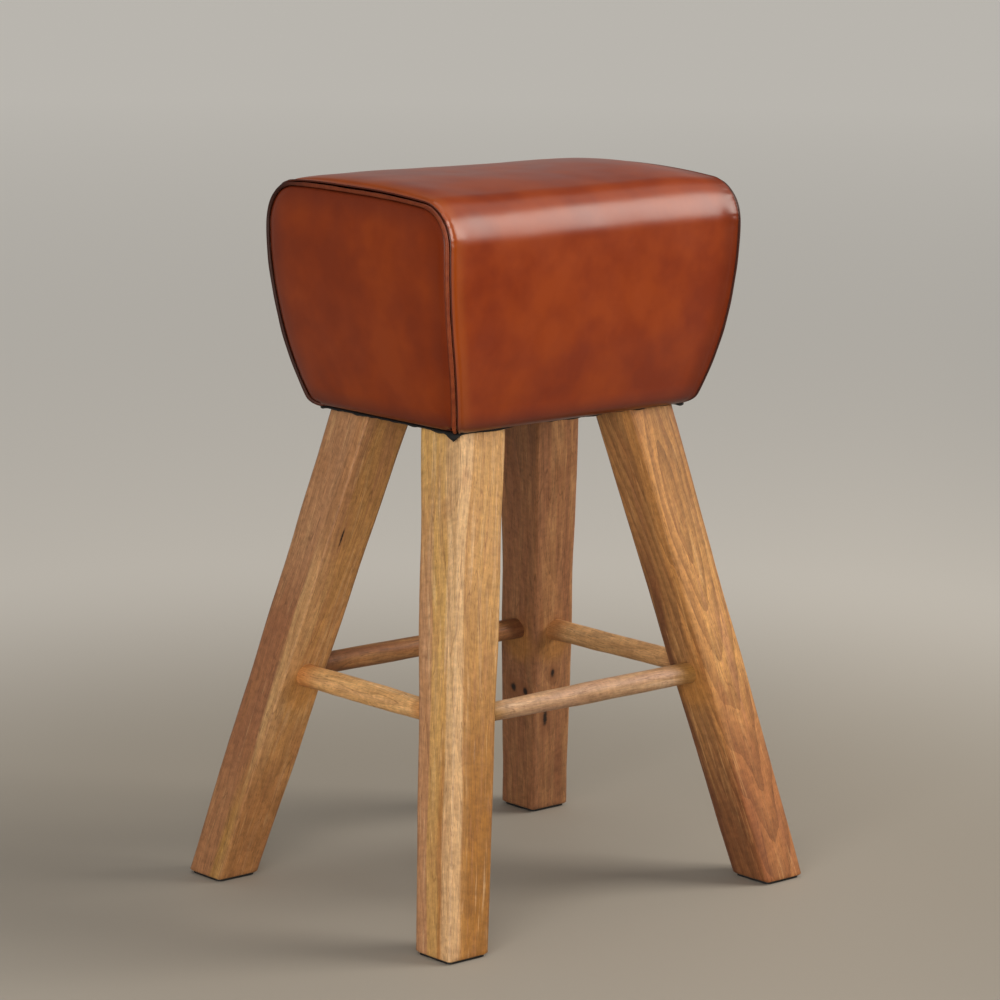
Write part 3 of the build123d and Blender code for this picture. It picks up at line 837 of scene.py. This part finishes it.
def leather_material(name, clouds, seed, shine, layers):
    """Vegetable-tanned buffalo leather, dyed by hand and burnished to a polish.

    The dye lies in soft clouds. Its layers add painted shade towards the hem, in the seams' creases
    and at the right end, and a painted highlight over the left allowance. The polish gives broad
    smooth reflections with hardly any pores. The grain is drawn 2 mm wide, coarser than the real one.
    """
    material, tree, coords = start_material(name)
    drawn = noises(tree, coords, seed, leather_patterns)
    speckled = add(tree, "Math", {0: drawn["mottle"], 1: 0.25, 2: -0.12}, operation="MULTIPLY_ADD")
    dye = add(tree, "Math", {0: drawn["cloud"], 1: speckled}, operation="ADD")
    colour = add(tree, "ValToRGB", {0: dye}, stops=tuple(zip((0.34, 0.5, 0.66), clouds)))
    placed = []
    for attribute, *rest in layers:
        value = add(tree, "Attribute", take="Fac", attribute_name=attribute)
        placed.append((value, *rest))
    colour = layered(tree, colour, placed)
    bump = add(tree, "Bump", {"Strength": 0.1, "Distance": 0.1 * mm, "Height": drawn["grain"]})
    gloss = add(tree, "MapRange", {0: drawn["cloud"], 1: 0.3, 2: 0.7, 3: 0.28, 4: 0.33})
    surface = {"Base Color": colour, "Roughness": gloss, "Specular IOR Level": shine, "Normal": bump}
    return finish_material(material, surface)


def plain_material(name, colour, roughness, metallic=0.0, size=6 * mm):
    """A finish with slight clouds in its colour and in its surface."""
    material, tree, coords = start_material(name)
    cloud = noises(tree, coords, 2.0, {"cloud": (size, 1, 4, 0.5)})["cloud"]
    factor = add(tree, "MapRange", {0: cloud, 1: 0.3, 2: 0.7, 3: 0.88, 4: 1.12})
    tint = add(tree, "VectorMath", {0: linear(colour)[:3], "Scale": factor}, operation="SCALE")
    bump = add(tree, "Bump", {"Strength": 0.2, "Distance": 0.1 * mm, "Height": cloud})
    surface = {"Base Color": tint, "Roughness": roughness, "Metallic": metallic, "Normal": bump}
    return finish_material(material, surface)


def piping_material():
    """The same hide, skived thin and sewn round a cord.

    It is darker over the top, at the rear and at the right end: painted shade, where the cord lies in shadow.
    """
    material, tree, coords = start_material("piping_leather")
    parts = add(tree, "SeparateXYZ", {0: coords}).node.outputs
    cloud = noises(tree, coords, 6.0, {"cloud": (7 * mm, 1, 3, 0.5)})["cloud"]
    colour = add(tree, "ValToRGB", {0: cloud}, stops=((0.35, "#742E10"), (0.65, "#883E1A")))
    high = shoulder_height + 16 * mm
    # Painted shade: the cord darker over the top, at the rear and at the right end
    wear_and_painted_shade = [
        (parts["Z"], high, high + 24 * mm, 0.0, 0.45, "#4A1C0C"),
        (parts["Y"], 60 * mm, 125 * mm, 0.0, 0.9, "#1C0A06"),
        (parts["X"], 0.0, 50 * mm, 0.0, 0.85, "#2A100A"),
    ]
    colour = layered(tree, colour, wear_and_painted_shade)
    bump = add(tree, "Bump", {"Strength": 0.2, "Distance": 0.1 * mm, "Height": cloud})
    surface = {"Base Color": colour, "Roughness": 0.55, "Specular IOR Level": 0.3, "Normal": bump}
    return finish_material(material, surface)


wood_patterns = {
    "bands": (10 * mm, 18, 3, 0.55),
    "streaks": (4 * mm, 24, 3, 0.6),
    "patches": (26 * mm, 3, 2, 0.5),
    "vein": (16 * mm, 14, 1, 0.5),
    "fibre": (0.9 * mm, 30, 3, 0.65),
    "figure": (8 * mm, 0.7, 3, 0.6),
    "flecks": (0.8 * mm, 11, 1, 0.5),
}
heart_place, heart_lean = (4 * mm, 82 * mm, 0), (0.5, 0.06, 0)


def sawn_wood(name, place, axis, seed, tones, strips=(), arches=0.2, knots=(), stains=(), end_stain=None):
    """Mango wood, sawn, planed, sanded by hand and finished with a thin wax oil.

    Its sapwood lies in long soft bands of honey, gold and pinkish brown beside reddish heartwood,
    growth rings show as pointed arches, short dark pores run along it, and oil and glue have
    darkened it where the stretchers go in. The strips are each board's own tones, and on some
    boards painted shade and painted highlights: direction across the board, where it begins and
    is full, the heights between which it fades in, amount and tone.
    A knot has its place, its size and how many times longer than wide it is.
    """
    rosy, honey, gold, pale, red, dark = tones
    material, tree, coords = start_material(name)
    turn = Vector((0, 0, 1)).rotation_difference(Vector(axis)).to_euler()
    settings = {"Vector": coords, "Location": place, "Rotation": turn}
    straight = add(tree, "Mapping", settings, vector_type="TEXTURE")
    height = add(tree, "SeparateXYZ", {0: straight}, take="Z")
    local, knot_reaches = straight, []
    for knot_place, knot_size, knot_length in knots:
        away = add(tree, "VectorMath", {0: straight, 1: knot_place}, operation="SUBTRACT")
        oval = add(tree, "VectorMath", {0: away, 1: (1, 1, 1 / knot_length)}, operation="MULTIPLY")
        reach = add(tree, "VectorMath", {0: oval}, take="Value", operation="LENGTH")
        push = add(tree, "MapRange", {0: reach, 1: 0.0, 2: 3.2 * knot_size, 3: 0.8, 4: 0.0})
        pushed = add(tree, "VectorMath", {0: oval, "Scale": push}, operation="SCALE")
        local = add(tree, "VectorMath", {0: local, 1: pushed}, operation="SUBTRACT")
        knot_reaches.append((reach, knot_size))
    sway = add(tree, "Mapping", {"Vector": local, "Scale": (1, 1, 0.2), "Location": (seed, 0, seed)})
    drift = add(tree, "TexNoise", {"Vector": sway, "Scale": 1 / (45 * mm), "Detail": 1}, take="Color")
    centred = add(tree, "VectorMath", {0: drift, 1: (0.5, 0.5, 0.5)}, operation="SUBTRACT")
    pushed = add(tree, "VectorMath", {0: centred, "Scale": 20 * mm}, operation="SCALE")
    warped = add(tree, "VectorMath", {0: local, 1: pushed}, operation="ADD")
    drawn = noises(tree, warped, seed, wood_patterns)
    stops = ((0.32, rosy), (0.44, honey), (0.54, gold), (0.62, pale), (0.7, honey))
    colour = add(tree, "ValToRGB", {0: drawn["bands"]}, stops=stops)
    for direction, begins, full, bottom, top, amount, tone in strips:
        reach = add(tree, "VectorMath", {0: warped, 1: direction}, take="Value", operation="DOT_PRODUCT")
        settings = {0: height, 1: min(bottom, top), 2: max(bottom, top)}
        settings.update({3: 0.0, 4: amount} if bottom < top else {3: amount, 4: 0.0})
        level = add(tree, "MapRange", settings, interpolation_type="SMOOTHSTEP")
        share = add(tree, "MapRange", {0: reach, 1: begins, 2: full, 3: 0.0, 4: 1.0})
        share = add(tree, "Math", {0: share, 1: level}, operation="MULTIPLY")
        colour = add(tree, "Mix", {0: share, 6: colour, 7: linear(tone)}, take=2, data_type="RGBA")
    # The trunk's heart lies beside the board and leans, so its rings are cut into arches
    settings = {"Vector": warped, "Location": heart_place, "Rotation": heart_lean, "Scale": (1, 1, 0.26)}
    trunk = add(tree, "Mapping", settings)
    settings = {"Vector": trunk, "Scale": 36.0, "Distortion": 2.0, "Detail": 2, "Detail Scale": 1.4}
    wave = {"wave_type": "RINGS", "rings_direction": "Z", "wave_profile": "SAW"}
    rings = add(tree, "TexWave", settings, take="Fac", **wave)
    veined = add(tree, "Math", {0: drawn["vein"], 1: 0.5}, operation="SUBTRACT")
    near_vein = add(tree, "Math", {0: veined}, operation="ABSOLUTE")
    layers = [
        (rings, 0.2, 1.0, 0.0, arches, dark),
        (drawn["streaks"], 0.56, 0.74, 0.0, 0.45, pale),
        (drawn["streaks"], 0.28, 0.46, 0.5, 0.0, red),
        (drawn["patches"], 0.56, 0.72, 0.0, 0.4, red),
        (near_vein, 0.0, 0.008, 0.4, 0.0, dark),
    ]
    colour = layered(tree, colour, layers)
    for spot, size, tone in stains:
        reach = add(tree, "VectorMath", {0: straight, 1: spot}, take="Value", operation="DISTANCE")
        colour = layered(tree, colour, [(reach, 0.35 * size, size, 0.7, 0.0, tone)])
    if end_stain:
        half, tone = end_stain
        reach = add(tree, "Math", {0: height}, operation="ABSOLUTE")
        colour = layered(tree, colour, [(reach, half - 40 * mm, half - 6 * mm, 0.0, 0.75, tone)])
    for pattern, darkest, lightest in (("fibre", 0.74, 1.23), ("figure", 0.83, 1.16)):
        shade = add(tree, "MapRange", {0: drawn[pattern], 1: 0.3, 2: 0.7, 3: darkest, 4: lightest})
        colour = add(tree, "VectorMath", {0: colour, "Scale": shade}, operation="SCALE")
    # Pores are drawn twice as wide as real ones, which are too fine to show
    pores = add(tree, "MapRange", {0: drawn["flecks"], 1: 0.62, 2: 0.7, 3: 0.0, 4: 0.5})
    colour = add(tree, "Mix", {0: pores, 6: colour, 7: linear(dark)}, take=2, data_type="RGBA")
    for reach, size in knot_reaches:
        rough = add(tree, "Math", {0: drawn["figure"], 1: 0.9 * size, 2: reach}, operation="MULTIPLY_ADD")
        halo = (rough, 0.7 * size, 3.0 * size, 0.8, 0.0, red)
        core = (rough, 0.75 * size, 1.25 * size, 1.0, 0.0, "#1E120C")
        colour = layered(tree, colour, [halo, core])
    relief = add(tree, "Math", {0: pores, 1: -1.6, 2: drawn["fibre"]}, operation="MULTIPLY_ADD")
    bump = add(tree, "Bump", {"Strength": 0.35, "Distance": 0.2 * mm, "Height": relief})
    gloss = add(tree, "MapRange", {0: drawn["fibre"], 1: 0.3, 2: 0.7, 3: 0.48, 4: 0.6})
    surface = {"Base Color": colour, "Roughness": gloss, "Specular IOR Level": 0.35, "Normal": bump}
    return finish_material(material, surface)


# Tones of the leather: the value that they follow, where it is low and high, both amounts and the tone
# Painted shade in the creases beside the piping: a narrow dark line on the wrap, a wider one on the ends
crease_shade = ("seam_distance", 0.0, 1.2 * mm, 0.85, 0.0, "#34120A")
deep_crease_shade = ("seam_distance", 0.8 * mm, 3.2 * mm, 0.6, 0.0, "#30100A")
hem_shade = ("hem_distance", 0.0, 26 * mm, 0.75, 0.0, "#4E2016")
# Painted highlight: a lighter orange over the left allowance's ridge, where it catches the light
allowance_highlight = ("allowance", 0.0, 1.0, 0.0, 0.42, "#A04E14")
# Painted shade: the wrap darker towards its seam at the right end
far_edge_shade = ("far_edge", 0.0, 1.0, 0.0, 0.6, "#5E2008")
darker_border = ("seam_distance", 4 * mm, 32 * mm, 0.5, 0.0, "#5C200E")
wrap_leather = leather_material(
    "burnished_leather_wrap",
    clouds=("#7C2A04", "#863104", "#903804"),
    seed=0.0,
    shine=0.4,
    layers=[allowance_highlight, far_edge_shade, hem_shade, crease_shade],
)
end_leather = leather_material(
    "burnished_leather_end",
    clouds=("#742A08", "#7D2F09", "#85350B"),
    seed=3.0,
    shine=0.2,
    layers=[darker_border, hem_shade, deep_crease_shade],
)
cord_leather = piping_material()
# Polypropylene fibres, spun and pressed into a cloth: a dull, deep black with a fine speckle
cover_cloth = plain_material("black_polypropylene_cloth", "#0C0B0B", 0.85, size=2 * mm)
# Natural rubber filled with carbon black, moulded: a matt black, a little greyer than the cloth
pad_rubber = plain_material("black_rubber", "#141414", 0.65)
# Steel wire and rod, drawn and plated with zinc: a pale grey metal with a soft, cloudy shine
zinc_steel = plain_material("zinc_plated_steel", "#B4B6B8", 0.35, metallic=1.0)

# Each leg is a different board, with its own tones: rosy, honey, gold, pale, red and dark
left, right, near, left_near, left_far = (-1, 0, 0), (1, 0, 0), (0, -1, 0), (-0.7, -0.7, 0), (-0.7, 0.7, 0)
# Heights below the floor, for a strip that is full over the whole board
always = (-2.0, -1.0)
leg_woods = {
    "leg_front_left": dict(
        tones=("#BC9068", "#C9985F", "#CD9E58", "#DDB88C", "#A5734C", "#6E4424"),
        strips=[
            (near, 14 * mm, 26 * mm, *always, 0.7, "#BA8D55"),
            (right, -26 * mm, -6 * mm, 0.42, 0.12, 0.9, "#94601F"),
            (left, 12 * mm, 24 * mm, 0.28, 0.1, 0.9, "#A06C38"),
            (left_far, 12 * mm, 15 * mm, *always, 0.55, "#C8A060"),
            (left_far, 25 * mm, 27 * mm, 0.52, 0.34, 0.7, "#A8765A"),
            # A pale streak along the near edge: lighter sapwood, and partly a painted highlight where the
            # rounded edge catches the light
            (left_near, 30 * mm, 32.5 * mm, *always, 0.7, "#D8B284"),
        ],
    ),
    "leg_front_right": dict(
        tones=("#C08A5E", "#C69054", "#CC9656", "#D6A46A", "#925A34", "#5C341C"),
        strips=[
            (left, 14 * mm, 24 * mm, *always, 0.75, "#8A5F38"),
            (left, 14 * mm, 24 * mm, 0.2, 0.06, 0.75, "#6C4028"),
            (left_far, 27 * mm, 31 * mm, 0.42, 0.3, 0.85, "#5E3824"),
            (near, 10 * mm, 26 * mm, 0.26, 0.12, 0.75, "#A06038"),
            (near, 10 * mm, 26 * mm, 0.3, 0.46, 0.95, "#A87640"),
            (left_near, 31 * mm, 33 * mm, 0.1, 0.2, 0.7, "#C88E50"),
        ],
        arches=0.46,
    ),
    "leg_rear_left": dict(
        tones=("#A87850", "#B5864E", "#BA8C4A", "#CFA673", "#98663F", "#54351F"),
        strips=[
            (left, 18 * mm, 21 * mm, *always, 0.92, "#A87A56"),
            (left, 18 * mm, 21 * mm, 0.38, 0.28, 0.75, "#8A5638"),
            (left, 18 * mm, 21 * mm, 0.16, 0.08, 0.75, "#A2714A"),
            (left_near, 30 * mm, 32.5 * mm, 0.42, 0.3, 0.75, "#CFA872"),
            (left_near, 24 * mm, 29 * mm, 0.17, 0.06, 0.7, "#A27A38"),
            # Painted shade: the inner face darker where it lies in shadow under the seat, more so near the
            # foot
            (near, 14 * mm, 26 * mm, *always, 0.5, "#AC784A"),
            (near, 14 * mm, 26 * mm, 0.2, 0.08, 0.7, "#98643A"),
        ],
        knots=[((-14 * mm, -31 * mm, 395 * mm), 2.4 * mm, 8)],
    ),
    "leg_rear_right": dict(
        tones=("#986644", "#A06E4A", "#A8764C", "#B48458", "#7E4E30", "#482A1C"),
        strips=[
            (left, 16 * mm, 24 * mm, *always, 0.5, "#7E5036"),
            (near, 12 * mm, 26 * mm, 0.16, 0.05, 0.35, "#6E4226"),
            (left_near, 31 * mm, 34 * mm, *always, 0.5, "#A2704C"),
        ],
        knots=[
            ((-28 * mm, 6 * mm, 161 * mm), 7.5 * mm, 1.4),
            ((-28 * mm, -13 * mm, 163 * mm), 6.5 * mm, 1.2),
            ((-1 * mm, -28 * mm, 184 * mm), 5 * mm, 1.8),
            ((-11 * mm, -28 * mm, 128 * mm), 5.5 * mm, 3),
        ],
    ),
}
# Each stretcher's tones, and the one of its stained ends
stretcher_woods = {
    "stretcher_front": (("#B28A6E", "#B69070", "#BC9670", "#C9A684", "#A07652", "#6C4428"), "#A4762F"),
    "stretcher_rear": (("#8E5C3A", "#94623A", "#9C6A3E", "#A8784A", "#784C2E", "#4E3220"), "#6E422A"),
    "stretcher_left": (("#D0A06C", "#D8A86E", "#DEAE74", "#E6BC88", "#B68450", "#6A4426"), "#B06E34"),
    "stretcher_right": (("#C09468", "#C89A68", "#D0A26E", "#DAAE7C", "#A07248", "#5E3E24"), "#A0683A"),
}

wrap = leather_wrap(wrap_leather)
end_left = end_panel(-1, end_leather)
end_right = end_panel(1, end_leather)
cord_left = piping(-1, cord_leather)
cord_right = piping(1, cord_leather)
cloth = dust_cover(cover_cloth)
cloth_edge = dust_cover_edge(cover_cloth)
for piece in (wrap, end_left, end_right, cord_left, cord_right, cloth, cloth_edge):
    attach(piece, "root")
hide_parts("leather_wrap_panel", "foam_top", "foam_front", "foam_rear")
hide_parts("leather_end_panel_left", "foam_left")
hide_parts("leather_end_panel_right", "foam_right")
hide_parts("piping_left")
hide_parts("piping_right")
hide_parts("dust_cover")

# The legs and stretchers, darkened where they are glued together
stain_size, stain_tone = 34 * mm, "#A87236"
for seed, (name, corner) in enumerate(legs.items()):
    foot = leg_centre(pad_thickness, corner)
    axis = (leg_centre(leg_top_height, corner) - foot).normalized()
    level = stretcher_height - pad_thickness
    reach = leg_side(stretcher_height) / 2
    joints = (-corner[0] * reach, 0, level), (0, -corner[1] * reach, level)
    stains = [(joint, stain_size, stain_tone) for joint in joints]
    wood = sawn_wood("mango_wood_" + name, foot, axis, seed + 1, stains=stains, **leg_woods[name])
    post = leg_piece(name, corner, seed + 1, wood)
    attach(post, "root")
    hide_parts(name)
for seed, (name, (tones, end_tone)) in enumerate(stretcher_woods.items()):
    low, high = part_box(name)
    along = runs_along(name)
    axis = (1 - along, along, 0)
    half = (high[along] - low[along]) / 2 - tenon_depth
    wood_name = "mango_wood_" + name
    wood = sawn_wood(wood_name, (low + high) / 2, axis, seed + 11, tones, end_stain=(half, end_tone))
    bar = stretcher_piece(name, seed + 11, wood)
    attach(bar, "root")
    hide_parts(name)

# Birch plywood, its veneers peeled, glued crosswise and sanded: pale and even, with a straight grain
board_tones = ("#C8A878", "#D0B080", "#D6B888", "#DCC294", "#BC9866", "#8A6A40")
board_wood = sawn_wood("birch_plywood", (0, 0, 0), (1, 0, 0), 31, board_tones)
node_finishes = {
    "board": board_wood,
    "corner_blocks": board_wood,
    "foot_pad": pad_rubber,
    "staples": zinc_steel,
    "bolt": zinc_steel,
}
for name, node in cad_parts.items():
    for word, material in node_finishes.items():
        if word in name:
            for place in node.material_slots:
                place.material = material


# Stage and light
def seen_rays(tree):
    """1 for the rays that see the background: the camera's, and those in gloss and through glass."""
    path = add(tree, "LightPath").node.outputs
    direct = add(tree, "Math", {0: path["Is Camera Ray"], 1: path["Is Glossy Ray"]}, operation="ADD")
    return add(tree, "Math", {0: direct, 1: path["Is Transmission Ray"]}, operation="ADD")


# The floor, in metres from its middle: where its far part begins to glow and does so fully, and how much
floor_radius = 60
near_wall = {1: 0.45, 2: 1.7, 3: 0.0, 4: 0.3}
far_wall = {1: 1.2, 2: 9.0, 3: 0.0, 4: 0.16}
away_from_camera, front_right = (0.65, 0.76, 0), (0.65, -0.76, 0)


def make_stage():
    """A round floor, darker in front on the right, whose far part is as pale as a studio wall.

    The camera sees its pale part all round, and gloss only the part behind the object.
    """
    bm = bmesh.new()
    bmesh.ops.create_circle(bm, cap_ends=True, segments=96, radius=floor_radius)
    material, tree, coords = start_material("pale_floor")
    away = add(tree, "VectorMath", {0: coords}, take="Value", operation="LENGTH")
    wall = add(tree, "MapRange", {0: away, **near_wall}, interpolation_type="SMOOTHSTEP")
    distant = add(tree, "MapRange", {0: away, **far_wall})
    lift = add(tree, "Math", {0: wall, 1: distant}, operation="ADD")
    back = add(tree, "VectorMath", {0: coords, 1: away_from_camera}, take="Value", operation="DOT_PRODUCT")
    behind = add(tree, "MapRange", {0: back, 1: -1.0, 2: 0.3}, interpolation_type="SMOOTHSTEP")
    direct = add(tree, "LightPath", take="Is Camera Ray")
    behind = add(tree, "Math", {0: behind, 1: direct}, operation="MAXIMUM")
    lift = add(tree, "Math", {0: lift, 1: behind}, operation="MULTIPLY")
    lift = add(tree, "Math", {0: lift, 1: seen_rays(tree)}, operation="MULTIPLY")
    front = add(tree, "VectorMath", {0: coords, 1: front_right}, take="Value", operation="DOT_PRODUCT")
    front = add(tree, "MapRange", {0: front, 1: 0.25, 2: 1.2}, interpolation_type="SMOOTHSTEP")
    colour = add(tree, "ValToRGB", {0: front}, stops=((0.0, "#9A9388"), (1.0, "#68635B")))
    surface = {"Base Color": colour, "Roughness": 0.75}
    surface.update({"Emission Color": linear("#F2EEE6"), "Emission Strength": lift})
    floor = link_mesh("floor", bm, finish_material(material, surface))
    floor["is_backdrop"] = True


# The room: what it gives as light, and how the walls' glow falls with the sine of the height
room_strength = 0.22
wall_glow = {1: 0.15, 2: 0.55, 3: 0.19, 4: -0.1}


def make_world():
    """A pale room: soft light from all round, and in gloss its walls are brighter than its ceiling."""
    world = bpy.data.worlds.new("studio")
    world.use_nodes = True
    tree = world.node_tree
    direction = add(tree, "TexCoord", take="Generated")
    height = add(tree, "SeparateXYZ", {0: direction}, take="Z")
    walls = add(tree, "MapRange", {0: height, **wall_glow}, interpolation_type="SMOOTHSTEP")
    lift = add(tree, "Math", {0: walls, 1: seen_rays(tree)}, operation="MULTIPLY")
    strength = add(tree, "Math", {0: lift, 1: room_strength}, operation="ADD")
    background = tree.nodes["Background"].inputs
    background["Color"].default_value = linear("#F4F1EC")
    tree.links.new(strength, background["Strength"])
    bpy.context.scene.world = world


# Softboxes: place and point that they face, width and height in metres, power in watts and colour
seat_middle, low_middle = (0, 0, 0.65), (0, 0, 0.5)
softboxes = {
    "side_softbox": ((1.85, -1.44, 1.75), seat_middle, (1.4, 1.7), 61, "#FFF8EE"),
    "upper_softbox": ((1.5, -0.4, 2.6), seat_middle, (1.6, 1.2), 6, "#FFF8EE"),
    "overhead_softbox": ((0, 0, 3.0), seat_middle, (2.0, 2.0), 18, "#FFFAF4"),
    "left_fill": ((-2.4, -1.6, 0.95), low_middle, (1.8, 1.6), 64, "#FFFAF4"),
}


def area_light(name, place, target, size, energy, colour):
    data = bpy.data.lights.new(name, "AREA")
    data.shape = "RECTANGLE"
    data.size, data.size_y = size
    data.energy = energy
    data.color = linear(colour)[:3]
    lamp = bpy.data.objects.new(name, data)
    lamp.location = place
    direction = Vector(target) - Vector(place)
    lamp.rotation_euler = direction.to_track_quat("-Z", "Y").to_euler()
    bpy.context.scene.collection.objects.link(lamp)


make_stage()
make_world()
for name, values in softboxes.items():
    area_light(name, *values)
bpy.context.scene.view_settings.view_transform = "Standard"

low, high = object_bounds()
